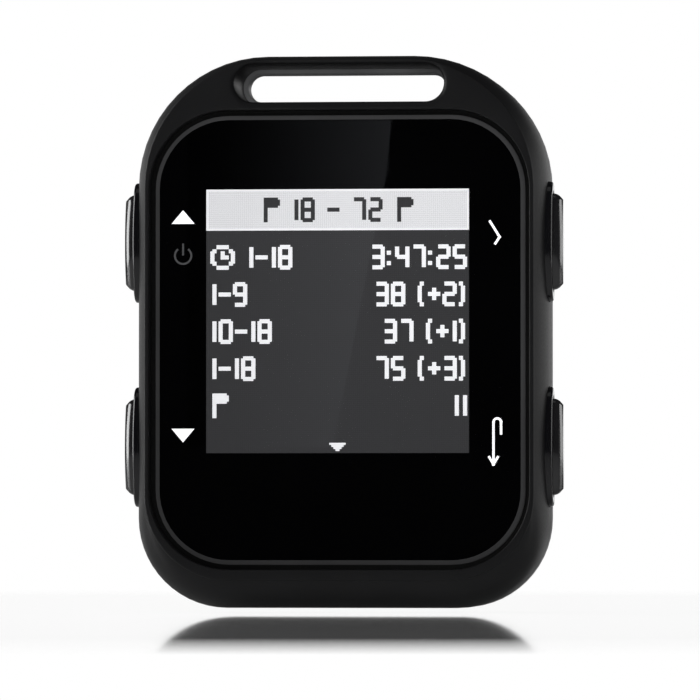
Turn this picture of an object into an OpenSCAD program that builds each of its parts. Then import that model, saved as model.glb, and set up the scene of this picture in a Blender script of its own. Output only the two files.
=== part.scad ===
// Clip-on golf GPS unit: a small black case with a square display behind one rounded
// cover lens, two buttons on each side, a lanyard slot across its top and a sprung belt
// clip on its back.
//
// Frame: millimetres, +Z up, the display faces -Y, origin at the bottom centre of the
// whole unit. Every module draws in the unit's own plane, with x to the right, y up the
// unit and z towards the front, and counts depths back from the front lip of the case.

/* [Case] */
// Width of the case across its sides
body_w = 35; // [35:0.25:36]
// Height of the case
body_h = 46.75; // [46.75:0.25:48]
// Depth of the case without its clip
body_d = 10.4; // [10.4:0.1:11]
// Depth at which the front shell meets the rear shell
split_d = 7.6; // [7.6:0.1:7.8]
// Radius of the two lower corners
low_r = 7.6; // [7:0.1:8]
// Radius of the two upper corners
top_r = 11.1; // [10:0.1:12]
// Thickness of the case walls round the electronics
wall = 1.6; // [1.5:0.1:1.7]
// Radius of the rounded rear edge
rear_r = 1.2; // [1:0.1:1.6]

/* [Front face] */
// How far the sides lean in at the front lip
side_lean = 1.05; // [0.8:0.05:1.1]
// How far the chin rolls back under the lens
chin_lean = 3; // [2.6:0.1:3.1]
// Depth over which the chin rolls back
chin_d = 3.4; // [3.2:0.1:4]
// How far the rim of the outline leans in at the front lip
rim_lean = 0.6; // [0.3:0.05:0.7]

/* [Lens] */
// Width of the cover lens
lens_w = 31.4; // [30.8:0.1:31.4]
// Height of the cover lens
lens_h = 38; // [37.4:0.1:38]
// Height of the lens's lower edge
lens_y = 3.67; // [3.6:0.01:3.8]
// Corner radius of the lens
lens_r = 6.3; // [5:0.1:7]
// Thickness of the lens
lens_t = 1.2; // [1:0.1:1.2]
// Depth of the lens's front face behind the lip
lens_recess = 1.2; // [1.1:0.1:1.2]
// Width of the bevel round the lens
lens_bevel = 0.38; // [0.2:0.02:0.5]
// Gap between the lens and the case
lens_gap = 0.42; // [0.3:0.01:0.42]

/* [Lanyard slot] */
// Width of the slot through the front shell
slot_w = 17.8; // [16:0.1:18]
// Height of the slot through the front shell
slot_h = 3.2; // [3:0.1:3.2]
// Thickness of the bar above the slot
slot_bar = 0.8; // [0.8:0.05:0.9]
// How far the rear shell's slot is smaller all round
slot_step = 0.42; // [0.2:0.02:0.5]

/* [Display] */
// Side of the square display area
display_s = 22.35; // [22:0.05:22.5]
// Sideways place of the display's centre
display_x = -0.28; // [-0.3:0.02:0]
// Height of the display's centre
display_y = 24.28; // [24:0.02:24.6]

/* [Buttons] */
// Height of the two upper buttons
upper_y = 31.05; // [30.8:0.05:31.4]
// Height of the two lower buttons
lower_y = 13.65; // [13.4:0.05:14]
// Depth of the buttons' centres behind the front lip
button_d = 5.05; // [5.05:0.01:5.1]
// Length of a button's bezel
bezel_l = 10.2; // [9.9:0.1:10.4]
// Thickness of a button's bezel
bezel_t = 4.8; // [4.6:0.1:4.8]
// How far a bezel stands out of the case
bezel_out = 0.35; // [0.35:0.05:0.6]
// How far a cap stands out of the case
cap_out = 1.18; // [1:0.02:1.2]
// How far a button travels
travel = 0.35; // [0.2:0.05:0.35]

/* [Belt clip] */
// Width of the clip
clip_w = 18.2; // [17:0.2:18.2]
// Thickness of the clip's plate
clip_t = 1.3; // [1.2:0.1:1.5]
// Gap between the clip's plate and the back of the case
clip_gap = 1.5; // [1.5:0.1:1.6]
// Height of the clip's hinge
hinge_y = 32.5; // [31:0.5:33]
// Height of the clip's free end
clip_low = 5.4; // [5:0.2:6]
// Height of the clip's thumb end
clip_top = 38.4; // [37.6:0.2:38.6]

/* [Hidden] */
$fn = 96;

// Small overshoot that lets a cut pass cleanly through a face
over = 0.2;
// Half widths and whole depth
half_w = body_w / 2;
total_d = body_d + clip_gap + clip_t;

// Depths at which the pieces behind the lens start, from front to back
mask_t = 0.1;
gasket_t = 0.4;
ledge_t = 0.7;
mask_d = lens_recess + lens_t;
ledge_d = mask_d + mask_t + gasket_t;
cavity_d = ledge_d + ledge_t;
floor_t = 1.2;
floor_d = body_d - floor_t;

// Shape of the rolled front edges and of the rounded rear edge
side_reach = 5.3;
rim_reach = 4;
roll_steps = 6;
rear_steps = 4;

// Electronics cavity and the seal that runs round it
cavity_top = 40.6;
cavity_top_r = 7;
cavity_x = half_w - wall;
seal_in = 0.45;
seal_w = 0.7;
seal_t = 0.6;
ledge_w = 1.2;

// Display stack
glass_w = 24.4;
glass_low = 9.6;
glass_top = 36.2;
glass_t = 1.5;
glass_d = mask_d + mask_t + 0.05;
frame_t = 0.5;
frame_d = 3;
frame_back = 5.3;
light_low = 12;
light_top = 35.9;
light_gap = 0.1;
light_back = 4.9;
film_d = 4.93;
film_back = 5.05;
fit = 0.05;

// Main board and what stands on it
board_d = 5.6;
board_t = 0.8;
board_back = board_d + board_t;
board_x = 14.8;
board_low = 2.6;
board_top = 39.8;
can_wall = 0.2;
battery_w = 27;
battery_low = 7;
battery_top = 27.5;
battery_d = board_back + 0.3;
battery_t = 2.35;

// Chips as [x, y, width, height, thickness] on the back of the board
chips = [
    [-6.4, 33.6, 5, 5, 0.8], [-2.7, 31, 1.6, 2.4, 0.6], [4.2, 34.6, 4, 4, 0.9],
    [7.3, 33, 1.4, 2.6, 0.6], [12, 30.6, 1.8, 3.2, 0.9], [-12.6, 30.4, 1.8, 3.2, 1],
    [-8.4, 4.4, 3, 1.8, 0.8], [8.4, 4.4, 3, 1.8, 0.8]
];

// Shield cans as [x, y, width, height, thickness]
gps_can = [-5.6, 33.2, 9.6, 9, 1.5];
power_can = [4.6, 34.4, 8, 6.6, 1.3];

// Display cable, from the glass round the lower edge of the frame to its connector
flex_half = 5;
flex_t = 0.12;
flex_bend = 8.3;
flex_low = 5.2;
flex_top = 11.4;
flex_d = 5;
plug_half = 5.5;
plug_low = 4.7;
plug_top = 6.7;
plug_d = flex_d + flex_t;

// Antenna block on the front of the board, with its electrode
antenna_half = 7;
antenna_low = 37.4;
antenna_high = 39.7;
antenna_d = 3.1;
electrode_t = 0.1;
electrode_in = 0.35;

// Battery leads and their connector
lead_x = [9.2, 10.4];
lead_r = 0.3;
lead_l = 1.3;
lead_d = 7.1;
socket_h = 1.8;
socket_back = 7.6;

// Screws: thread, head and where they stand
screw_r = 0.78;
head_r = 1.3;
head_t = 0.75;
washer_t = 0.3;
head_sunk = 0.1;
boss_r = 1.9;
insert_r = 1.2;
insert_l = 2.4;
screw_spots = [[-13.2, 4.6], [13.2, 4.6], [-12.3, 38.8], [12.3, 38.8]];

// Charging contacts
contact_r = 0.8;
contact_y = 4.2;
contact_pitch = 2.5;
contact_x = [-1.5 * contact_pitch, -0.5 * contact_pitch, 0.5 * contact_pitch, 1.5 * contact_pitch];
contact_half = 5.5;
contact_h = 2.6;
sunk = 0.05;

// Button stack, counted outwards from the centre of the unit
pocket_x = 16.1;
recess_x = 17;
boss_x = 15;
seal_x = 15.5;
sleeve_l = 9.4;
sleeve_t = 4;
sleeve_wall = 0.25;
window_l = 8.4;
window_t = 3;
oval_in = 0.7;
run = 0.1;
chamfer = 0.4;
bezel_soft = 0.2;
flange_x = pocket_x + travel + fit;
flange_t = 0.4;
stem_r = 0.5;
stem_hole_r = 0.57;
stem_tip_x = 14.85;
switch_in = 13.25;
switch_l = 4.2;
switch_d = 4.2;
block_half = 2.4;
block_d = 1.9;
seal_r = 1.48;

// Clip hinge
pin_r = 0.7;
pin_play = 0.05;
knuckle_r = 1.35;
hinge_d = body_d + knuckle_r;
ear_w = 1.6;
ear_gap = 0.1;
ear_in = clip_w / 2 + ear_gap;
knuckle_in = 5.2;
clip_d = body_d + clip_gap;
window_half = 4.9;
window_reach = 1.6;
coil_r = 1;
wire_r = 0.2;
coil_turns = 4;
coil_half = 3.2;
leg_up = 4.5;
leg_down = 5;
coil_steps = 18;
coil_end = coil_turns * 360 + 12;
coil_rings = coil_turns * coil_steps + 1;
wire_sides = 8;
foot_half = 7;
foot_low = 0.6;
foot_high = 2.8;
foot_t = 0.85;
grip_in = 0.2;

// How far an edge that rolls over `reach` of depth leans in at depth d
function roll(d, reach, lean) =
    let (radius = (reach * reach + lean * lean) / (2 * lean))
    radius - sqrt(radius * radius - pow(max(reach - d, 0), 2));

// [lean, depth] pairs of a rolled front edge that runs straight on to depth `back`
function front_roll(reach, lean, back) = concat(
    [for (i = [0:roll_steps]) [roll(i * reach / roll_steps, reach, lean), i * reach / roll_steps]],
    [[0, back]]);

// [lean, depth] pairs of the rear shell's rounded edge
rear_roll = concat(
    [[0, split_d]],
    [for (i = [0:rear_steps])
        let (a = 72 * i / rear_steps)
        [rear_r * (1 - cos(a)), body_d - rear_r * (sin(72) - sin(a))]]);

// A flat shape made solid between two depths
module slab(front, back) {
    translate([0, 0, -back]) linear_extrude(back - front) children();
}

// A rectangle on the unit's centre line with its own lower and upper corner radii
module soft_rect(w, y0, y1, r0, r1) {
    x0 = w / 2 - r0;
    x1 = w / 2 - r1;
    translate([-w / 2, y0 + r0]) square([w, y1 - r1 - y0 - r0]);
    translate([-x0, y0]) square([2 * x0, r0 + over]);
    translate([-x1, y1 - r1 - over]) square([2 * x1, r1 + over]);
    for (s = [-1, 1]) {
        translate([s * x0, y0 + r0]) circle(r0);
        translate([s * x1, y1 - r1]) circle(r1);
    }
}

// A slot shape with straight sides and round ends, its length along x
module stadium(l, t) {
    square([l - t, t], center = true);
    for (s = [-1, 1]) translate([s * (l - t) / 2, 0]) circle(t / 2);
}

// How far a button oval's end arcs are centred from its middle, and its long arcs' radius
function oval_reach(l, t) = (l - t) / 2 + oval_in;
function oval_big(l, t) =
    let (r = t / 2 - oval_in)
    (pow(oval_reach(l, t), 2) + t * t / 4 - r * r) / (2 * oval_in);

// The zone of a button oval that its long arcs bound, between the four tangent points
module oval_zone(l, t) {
    c = oval_reach(l, t);
    k = t * c / (oval_big(l, t) - t / 2);
    polygon([[c, 0], [c + k, t], [-c - k, t], [-c, 0], [-c - k, -t], [c + k, -t]]);
}

// A button's oval of four tangent arcs, its length along x
module oval(l, t) {
    big = oval_big(l, t);
    intersection() {
        translate([0, t / 2 - big]) circle(big);
        translate([0, big - t / 2]) circle(big);
        oval_zone(l, t);
    }
    for (s = [-1, 1]) translate([s * oval_reach(l, t), 0]) circle(t / 2 - oval_in);
}

// A plain block between two x, two y and two depths
module block(x0, x1, y0, y1, front, back) {
    translate([x0, y0, -back]) cube([x1 - x0, y1 - y0, back - front]);
}

// The half section of the outline's edge, from a corner's centre out to its surface
module edge_section(r, edge) {
    last = len(edge) - 1;
    polygon(concat(
        [[0, -edge[0][1]]],
        [for (p = edge) [r - p[0], -p[1]]],
        [[0, -edge[last][1]]]));
}

// The case's outline with an edge section swept all the way round it
module swept_body(edge) {
    last = len(edge) - 1;
    x_low = half_w - low_r;
    x_top = half_w - top_r;
    y_top = body_h - top_r;
    for (s = [0, 1]) mirror([s, 0, 0]) {
        translate([x_top, y_top, 0]) rotate_extrude(angle = 90) edge_section(top_r, edge);
        translate([x_low, low_r, 0]) rotate([0, 0, -90])
            rotate_extrude(angle = 90) edge_section(low_r, edge);
        translate([x_low, y_top, 0]) rotate([90, 0, 0])
            linear_extrude(y_top - low_r) edge_section(low_r, edge);
    }
    translate([-x_top, y_top, 0]) rotate([90, 0, 90])
        linear_extrude(2 * x_top) edge_section(top_r, edge);
    translate([x_low, low_r, 0]) rotate([90, 0, -90])
        linear_extrude(2 * x_low) edge_section(low_r, edge);
    block(-x_low, x_low, low_r, y_top, edge[0][1], edge[last][1]);
}

// The unit seen from its side, with the chin rolled back under the lens
module chin_limit(back) {
    rotate([90, 0, 90]) translate([0, 0, -body_w])
        linear_extrude(2 * body_w) polygon(concat(
            [for (p = front_roll(chin_d, chin_lean, back)) [p[0], -p[1]]],
            [[body_h + 1, -back], [body_h + 1, 0]]));
}

// The unit seen from above, with both sides leaning in towards the front lip
module side_limit(back) {
    edge = front_roll(side_reach, side_lean, back);
    last = len(edge) - 1;
    translate([0, body_h + 1, 0]) rotate([90, 0, 0])
        linear_extrude(body_h + 2) polygon(concat(
            [for (p = edge) [half_w - p[0], -p[1]]],
            [for (i = [last:-1:0]) [edge[i][0] - half_w, -edge[i][1]]]));
}

// The slot's outline, made smaller all round by `shrink`
module slot_shape(shrink) {
    translate([0, body_h - slot_bar - slot_h / 2])
        stadium(slot_w - 2 * shrink, slot_h - 2 * shrink);
}

// The cavity's outline, made larger all round by `grow`
module cavity_shape(grow) {
    soft_rect(2 * (cavity_x + grow), wall - grow, cavity_top + grow,
        low_r - wall + grow, cavity_top_r + grow);
}

// The lens's outline, made larger all round by `grow`
module lens_shape(grow) {
    soft_rect(lens_w + 2 * grow, lens_y - grow, lens_y + lens_h + grow, lens_r + grow, lens_r + grow);
}

// Moves a button part to its place on the right (side 1) or left (side -1)
module at_button(side, y) {
    mirror([side < 0 ? 1 : 0, 0, 0]) translate([0, y, -button_d]) children();
}

// An oval made solid from x0 to x1, its length up the unit
module oval_pad(l, t, x0, x1) {
    translate([x0, 0, 0]) rotate([90, 0, 90]) linear_extrude(x1 - x0) oval(l, t);
}

// An oval pad whose edge slopes in by `slope` between x0 and x1
module sloped_pad(l, t, x0, x1, slope) {
    big = oval_big(l, t);
    end = t / 2 - oval_in;
    translate([x0, 0, 0]) rotate([90, 0, 90]) {
        intersection() {
            translate([0, t / 2 - big, 0]) cylinder(h = x1 - x0, r1 = big, r2 = big - slope);
            translate([0, big - t / 2, 0]) cylinder(h = x1 - x0, r1 = big, r2 = big - slope);
            linear_extrude(x1 - x0) oval_zone(l, t);
        }
        for (s = [-1, 1]) translate([s * oval_reach(l, t), 0, 0])
            cylinder(h = x1 - x0, r1 = end, r2 = end - slope);
    }
}

// Everything that is cut out of the front shell for one button
module button_cut() {
    oval_pad(bezel_l + 2 * fit, bezel_t + 2 * fit, recess_x, half_w + over);
    oval_pad(sleeve_l + 2 * fit, sleeve_t + 2 * fit, pocket_x, recess_x + over);
    translate([boss_x - over, 0, 0]) rotate([0, 90, 0]) cylinder(h = 2, r = stem_hole_r);
    translate([boss_x - over, 0, 0]) rotate([0, 90, 0])
        cylinder(h = seal_x - boss_x + over, r = seal_r + 0.02);
}

module front_case() {
    color("#1b1c1e") difference() {
        union() {
            difference() {
                intersection() {
                    swept_body(front_roll(rim_reach, rim_lean, split_d));
                    chin_limit(split_d);
                    side_limit(split_d);
                }
                slab(-over, ledge_d) lens_shape(lens_gap);
                slab(ledge_d - over, cavity_d + over) lens_shape(-ledge_w);
                slab(cavity_d, split_d + over) cavity_shape(0);
                slab(-over, split_d + over) slot_shape(0);
            }
            for (p = screw_spots) translate(p) slab(cavity_d - fit, split_d) circle(boss_r);
            for (side = [-1, 1], y = [lower_y, upper_y]) at_button(side, y)
                block(boss_x, cavity_x + over, -block_half, block_half, -block_d, block_d);
        }
        for (p = screw_spots) translate(p)
            slab(split_d - 0.2 - insert_l, split_d + over) circle(insert_r);
        for (side = [-1, 1], y = [lower_y, upper_y]) at_button(side, y) button_cut();
    }
}

// One of the two ears that carry the clip's pin
module ear() {
    translate([ear_in, hinge_y, -hinge_d]) rotate([0, 90, 0]) difference() {
        union() {
            cylinder(h = ear_w, r = knuckle_r);
            translate([-knuckle_r - 0.3, -knuckle_r, 0])
                cube([knuckle_r + 0.3, 2 * knuckle_r, ear_w]);
        }
        translate([0, 0, -over]) cylinder(h = ear_w + 2 * over, r = pin_r);
    }
}

module rear_case() {
    color("#6c6d6f") {
        difference() {
            union() {
                difference() {
                    swept_body(rear_roll);
                    slab(split_d - over, floor_d) cavity_shape(0);
                }
                for (p = screw_spots) translate(p) slab(split_d, floor_d + fit) circle(boss_r);
            }
            slab(split_d - over, body_d + over) slot_shape(slot_step);
            slab(split_d - over, split_d + seal_t) difference() {
                cavity_shape(seal_in + seal_w);
                cavity_shape(seal_in);
            }
            for (p = screw_spots) translate(p) {
                slab(split_d - over, body_d) circle(screw_r + 0.12);
                slab(body_d - head_t - washer_t - head_sunk, body_d + over) circle(head_r + 0.1);
            }
            for (x = contact_x) translate([x, contact_y])
                slab(floor_d - over, body_d + over) circle(contact_r + 0.02);
        }
        for (s = [0, 1]) mirror([s, 0, 0]) ear();
    }
}

module case_seal() {
    color("#2b2b2b") slab(split_d, split_d + seal_t) difference() {
        cavity_shape(seal_in + seal_w);
        cavity_shape(seal_in);
    }
}

// The cover lens, with a 45 degree bevel swept all round its front edge
module lens() {
    edge = [[lens_bevel, 0], [0, lens_bevel], [0, lens_t]];
    x = lens_w / 2 - lens_r;
    y0 = lens_y + lens_r;
    y1 = lens_y + lens_h - lens_r;
    color("#08080a") translate([0, 0, -lens_recess]) {
        for (s = [0, 1]) mirror([s, 0, 0]) {
            translate([x, y1, 0]) rotate_extrude(angle = 90) edge_section(lens_r, edge);
            translate([x, y0, 0]) rotate([0, 0, -90])
                rotate_extrude(angle = 90) edge_section(lens_r, edge);
            translate([x, y1, 0]) rotate([90, 0, 0])
                linear_extrude(y1 - y0) edge_section(lens_r, edge);
        }
        translate([-x, y1, 0]) rotate([90, 0, 90])
            linear_extrude(2 * x) edge_section(lens_r, edge);
        translate([x, y0, 0]) rotate([90, 0, -90])
            linear_extrude(2 * x) edge_section(lens_r, edge);
        block(-x, x, y0, y1, 0, lens_t);
    }
}

module lens_gasket() {
    color("#0d0d0d") difference() {
        slab(lens_recess + 0.6, ledge_d) lens_shape(lens_gap - 0.02);
        slab(lens_recess, mask_d + mask_t) lens_shape(0.02);
        slab(mask_d, ledge_d + over) lens_shape(-ledge_w);
    }
}

module lens_mask() {
    color("#050505") slab(mask_d, mask_d + mask_t) difference() {
        lens_shape(-0.1);
        translate([display_x, display_y]) square(display_s, center = true);
    }
}

module display_glass() {
    color("#3a3f3c") block(display_x - glass_w / 2, display_x + glass_w / 2,
        glass_low, glass_top, glass_d, glass_d + glass_t);
}

module display_frame() {
    half = glass_w / 2 + fit;
    color("#c9ccd0") difference() {
        block(display_x - half - frame_t, display_x + half + frame_t,
            glass_low - fit - frame_t, glass_top + fit + frame_t, frame_d, frame_back);
        block(display_x - half, display_x + half,
            glass_low - fit, glass_top + fit, frame_d - over, frame_back - can_wall);
        block(display_x - flex_half - 0.2, display_x + flex_half + 0.2,
            glass_low - fit - frame_t - over, glass_low, frame_d - over, frame_back - can_wall);
    }
}

module backlight() {
    half = glass_w / 2 - light_gap;
    color("#e9eef0") block(display_x - half, display_x + half, light_low, light_top,
        glass_d + glass_t + fit, light_back);
}

module reflector() {
    half = glass_w / 2 - light_gap;
    color("#f5f5f2") block(display_x - half, display_x + half,
        light_low, light_top, film_d, film_back);
}

module display_flex() {
    x0 = display_x - flex_half;
    x1 = display_x + flex_half;
    front = glass_d + glass_t + 0.02;
    color("#b9742a") {
        block(x0, x1, flex_bend, flex_top, front, front + flex_t);
        block(x0, x1, flex_bend, flex_bend + flex_t, front, flex_d + flex_t);
        block(x0, x1, flex_low, flex_bend + flex_t, flex_d, flex_d + flex_t);
    }
}

module display_connector() {
    color("#e8e2cf") block(display_x - plug_half, display_x + plug_half,
        plug_low, plug_top, plug_d, board_d);
}

module main_board() {
    color("#0f5a3c") slab(board_d, board_back) difference() {
        soft_rect(2 * board_x, board_low, board_top, 5, 5);
        for (p = screw_spots) translate(p) circle(boss_r + 0.2);
    }
}

// A box on the back of the board from its [x, y, width, height, thickness], less `inset`
module on_board(place, inset, front) {
    w = place[2] / 2 - inset;
    h = place[3] / 2 - inset;
    block(place[0] - w, place[0] + w, place[1] - h, place[1] + h,
        front, board_back + place[4] - inset);
}

// A folded metal can that covers chips on the back of the board
module can(place) {
    difference() {
        on_board(place, 0, board_back);
        on_board(place, can_wall, board_back - over);
    }
}

module gps_shield() {
    color("#b8bcc0") can(gps_can);
}

module power_shield() {
    color("#b8bcc0") can(power_can);
}

module board_chips() {
    color("#222326") for (c = chips) on_board(c, 0, board_back);
}

module gps_antenna() {
    color("#cbb89a") block(-antenna_half, antenna_half, antenna_low, antenna_high,
        antenna_d, board_d);
}

module antenna_electrode() {
    color("#d5d7da") block(electrode_in - antenna_half, antenna_half - electrode_in,
        antenna_low + electrode_in, antenna_high - electrode_in, antenna_d - electrode_t, antenna_d);
}

module battery() {
    color("#c7cbd1") slab(battery_d, battery_d + battery_t)
        soft_rect(battery_w, battery_low, battery_top, 1.2, 1.2);
}

module battery_pad() {
    color("#30343a") slab(board_back, battery_d)
        soft_rect(battery_w - 3, battery_low + 1.5, battery_top - 1.5, 1, 1);
}

module battery_leads() {
    color("#b02a24") for (x = lead_x)
        translate([x, battery_top, -lead_d]) rotate([-90, 0, 0])
            cylinder(h = lead_l, r = lead_r);
}

module battery_connector() {
    low = battery_top + lead_l;
    color("#efe9da") block(lead_x[0] - 1, lead_x[1] + 0.2, low, low + socket_h,
        board_back, socket_back);
}

module contact_block() {
    color("#1f2022") block(-contact_half, contact_half,
        contact_y - contact_h / 2, contact_y + contact_h / 2, board_back, floor_d);
}

module charge_contacts() {
    color("#d9b04a") for (x = contact_x) translate([x, contact_y])
        slab(floor_d, body_d - sunk) circle(contact_r);
}

module case_screws() {
    top = body_d - head_sunk;
    color("#8d9095") for (p = screw_spots) translate(p) difference() {
        union() {
            slab(top - head_t, top) circle(head_r);
            slab(split_d - insert_l, top - head_t) circle(screw_r);
        }
        slab(top - 0.4, top + over) {
            square([1.6, 0.4], center = true);
            square([0.4, 1.6], center = true);
        }
    }
}

module screw_seals() {
    back = body_d - head_sunk - head_t;
    color("#303030") for (p = screw_spots) translate(p) slab(back - washer_t, back)
        difference() {
            circle(head_r - 0.05);
            circle(screw_r + 0.02);
        }
}

module screw_inserts() {
    color("#c9a24d") for (p = screw_spots) translate(p)
        slab(split_d - 0.1 - insert_l, split_d - 0.1) difference() {
            circle(insert_r);
            circle(screw_r + 0.02);
        }
}

module button_bezel(side, y) {
    color("#101113") at_button(side, y) difference() {
        union() {
            sloped_pad(bezel_l, bezel_t, half_w + 0.1, half_w + bezel_out, bezel_soft);
            oval_pad(bezel_l, bezel_t, recess_x, half_w + 0.1);
            oval_pad(sleeve_l, sleeve_t, pocket_x, recess_x);
        }
        oval_pad(window_l, window_t, pocket_x - over, half_w + bezel_out + over);
        oval_pad(sleeve_l - 2 * sleeve_wall, sleeve_t - 2 * sleeve_wall,
            pocket_x - over, flange_x + flange_t + fit);
    }
}

module button_cap(side, y) {
    cap_l = window_l - 2 * run;
    cap_t = window_t - 2 * run;
    face = half_w + cap_out;
    color("#17181a") at_button(side, y) {
        oval_pad(sleeve_l - 2 * sleeve_wall - 2 * run, sleeve_t - 2 * sleeve_wall - 2 * run,
            flange_x, flange_x + flange_t);
        oval_pad(cap_l, cap_t, flange_x + flange_t, face - chamfer);
        sloped_pad(cap_l, cap_t, face - chamfer, face, chamfer);
    }
}

module button_plunger(side, y) {
    color("#8a8d92") at_button(side, y) translate([stem_tip_x, 0, 0])
        rotate([0, 90, 0]) cylinder(h = flange_x - stem_tip_x, r = stem_r);
}

module button_seal(side, y) {
    color("#3a3a3a") at_button(side, y) translate([boss_x, 0, 0]) rotate([0, 90, 0])
        difference() {
            cylinder(h = seal_x - boss_x, r = seal_r);
            translate([0, 0, -over]) cylinder(h = 1, r = stem_r + 0.03);
        }
}

module button_switch(side, y) {
    depth = switch_d - button_d;
    color("#d8d8d2") at_button(side, y) difference() {
        block(switch_in, boss_x, -switch_l / 2, switch_l / 2, depth, board_d - button_d);
        translate([stem_tip_x - travel - 0.1, 0, 0]) rotate([0, 90, 0])
            cylinder(h = 1, r = stem_r + 0.12);
    }
}

module clip() {
    half = clip_w / 2;
    color("#1d1e20") {
        difference() {
            union() {
                slab(clip_d, clip_d + clip_t)
                    soft_rect(clip_w, clip_low, clip_top, 3, 3);
                block(-foot_half, foot_half, clip_low + foot_low, clip_low + foot_high,
                    clip_d - foot_t, clip_d + over);
                for (s = [0, 1]) mirror([s, 0, 0]) translate([knuckle_in, hinge_y, -hinge_d])
                    rotate([0, 90, 0]) cylinder(h = half - knuckle_in, r = knuckle_r - 0.05);
            }
            translate([-half - over, hinge_y, -hinge_d]) rotate([0, 90, 0])
                cylinder(h = clip_w + 2 * over, r = pin_r + pin_play);
            block(-window_half, window_half, hinge_y - window_reach, hinge_y + window_reach,
                clip_d - over, clip_d + clip_t + over);
        }
    }
}

module clip_pin() {
    length = 2 * (ear_in + ear_w);
    color("#b9bdc2") translate([-length / 2, hinge_y, -hinge_d]) rotate([0, 90, 0])
        cylinder(h = length, r = pin_r);
}

module clip_grip() {
    color("#2c2d2f") block(grip_in - foot_half, foot_half - grip_in,
        clip_low + foot_low + grip_in, clip_low + foot_high - grip_in,
        body_d + sunk, clip_d - foot_t);
}

// Centre of the wire after turning by a from the side that faces the case
function coil_point(a) = [
    coil_half * (1 - 2 * a / coil_end), coil_r * sin(a), coil_r * cos(a)];

// The spring's wire: down the case, round the pin, and up under the thumb end
wire_path = concat(
    [[coil_half, -leg_down, coil_r], [coil_half, -leg_down / 2, coil_r]],
    [for (i = [0:coil_rings - 1]) coil_point(coil_end * i / (coil_rings - 1))],
    [[-coil_half, leg_up / 2, 0.55], [-coil_half, leg_up, 0.1]]);

// Direction of the wire at point i
function wire_dir(i) =
    let (a = wire_path[max(i - 1, 0)], b = wire_path[min(i + 1, len(wire_path) - 1)])
    (b - a) / norm(b - a);

// One ring of points round the wire, set out from the x direction
function wire_ring(i) =
    let (d = wire_dir(i), u = [1, 0, 0] - d * d[0], v = u / norm(u), w = cross(d, v))
    [for (k = [0:wire_sides - 1])
        wire_path[i] + wire_r * (cos(360 * k / wire_sides) * v + sin(360 * k / wire_sides) * w)];

module clip_spring() {
    n = len(wire_path);
    rings = [for (i = [0:n - 1]) each wire_ring(i)];
    sides = [for (i = [0:n - 2], k = [0:wire_sides - 1])
        let (j = (k + 1) % wire_sides)
        [i * wire_sides + k, i * wire_sides + j,
            (i + 1) * wire_sides + j, (i + 1) * wire_sides + k]];
    first = [for (k = [wire_sides - 1:-1:0]) k];
    final = [for (k = [0:wire_sides - 1]) (n - 1) * wire_sides + k];
    color("#c3c6ca") translate([0, hinge_y, -hinge_d])
        polyhedron(points = rings, faces = concat(sides, [first], [final]));
}

// Stands the unit up on its base with the display facing -Y
module stand() {
    rotate([90, 0, 0]) translate([0, 0, total_d / 2]) children();
}

stand() front_case();
stand() rear_case();
stand() case_seal();
stand() lens();
stand() lens_gasket();
stand() lens_mask();
stand() display_glass();
stand() display_frame();
stand() backlight();
stand() reflector();
stand() display_flex();
stand() display_connector();
stand() main_board();
stand() board_chips();
stand() gps_shield();
stand() power_shield();
stand() gps_antenna();
stand() antenna_electrode();
stand() battery();
stand() battery_pad();
stand() battery_leads();
stand() battery_connector();
stand() contact_block();
stand() charge_contacts();
stand() case_screws();
stand() screw_seals();
stand() screw_inserts();
stand() button_bezel(-1, upper_y);  // up_bezel
stand() button_bezel(-1, lower_y);  // down_bezel
stand() button_bezel(1, upper_y);  // ok_bezel
stand() button_bezel(1, lower_y);  // back_bezel
stand() button_cap(-1, upper_y);  // up_cap
stand() button_cap(-1, lower_y);  // down_cap
stand() button_cap(1, upper_y);  // ok_cap
stand() button_cap(1, lower_y);  // back_cap
stand() button_plunger(-1, upper_y);  // up_plunger
stand() button_plunger(-1, lower_y);  // down_plunger
stand() button_plunger(1, upper_y);  // ok_plunger
stand() button_plunger(1, lower_y);  // back_plunger
stand() button_seal(-1, upper_y);  // up_seal
stand() button_seal(-1, lower_y);  // down_seal
stand() button_seal(1, upper_y);  // ok_seal
stand() button_seal(1, lower_y);  // back_seal
stand() button_switch(-1, upper_y);  // up_switch
stand() button_switch(-1, lower_y);  // down_switch
stand() button_switch(1, upper_y);  // ok_switch
stand() button_switch(1, lower_y);  // back_switch
stand() clip();
stand() clip_pin();
stand() clip_spring();
stand() clip_grip();
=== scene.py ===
"""Looks of a clip-on golf GPS unit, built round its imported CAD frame.

Lengths are in metres. The unit stands on z = 0 and its display faces -Y. The helpers
below count depths back from the front lip of the case, as its design does.
"""
import math

import bmesh
import bpy
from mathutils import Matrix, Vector


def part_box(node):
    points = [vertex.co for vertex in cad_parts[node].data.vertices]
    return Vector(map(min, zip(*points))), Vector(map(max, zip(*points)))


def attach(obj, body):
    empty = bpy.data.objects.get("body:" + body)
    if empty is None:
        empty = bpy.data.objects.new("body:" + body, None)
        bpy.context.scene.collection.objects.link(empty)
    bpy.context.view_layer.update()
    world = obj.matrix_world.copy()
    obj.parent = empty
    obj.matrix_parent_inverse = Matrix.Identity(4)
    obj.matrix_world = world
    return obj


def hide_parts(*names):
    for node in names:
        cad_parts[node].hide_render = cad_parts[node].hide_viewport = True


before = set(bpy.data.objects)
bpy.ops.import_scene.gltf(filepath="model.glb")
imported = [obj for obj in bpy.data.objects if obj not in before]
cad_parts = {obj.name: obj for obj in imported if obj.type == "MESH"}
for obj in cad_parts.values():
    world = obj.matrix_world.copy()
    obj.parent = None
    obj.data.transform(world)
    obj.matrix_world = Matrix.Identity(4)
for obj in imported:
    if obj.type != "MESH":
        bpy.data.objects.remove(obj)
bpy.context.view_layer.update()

MM = 0.001


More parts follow.
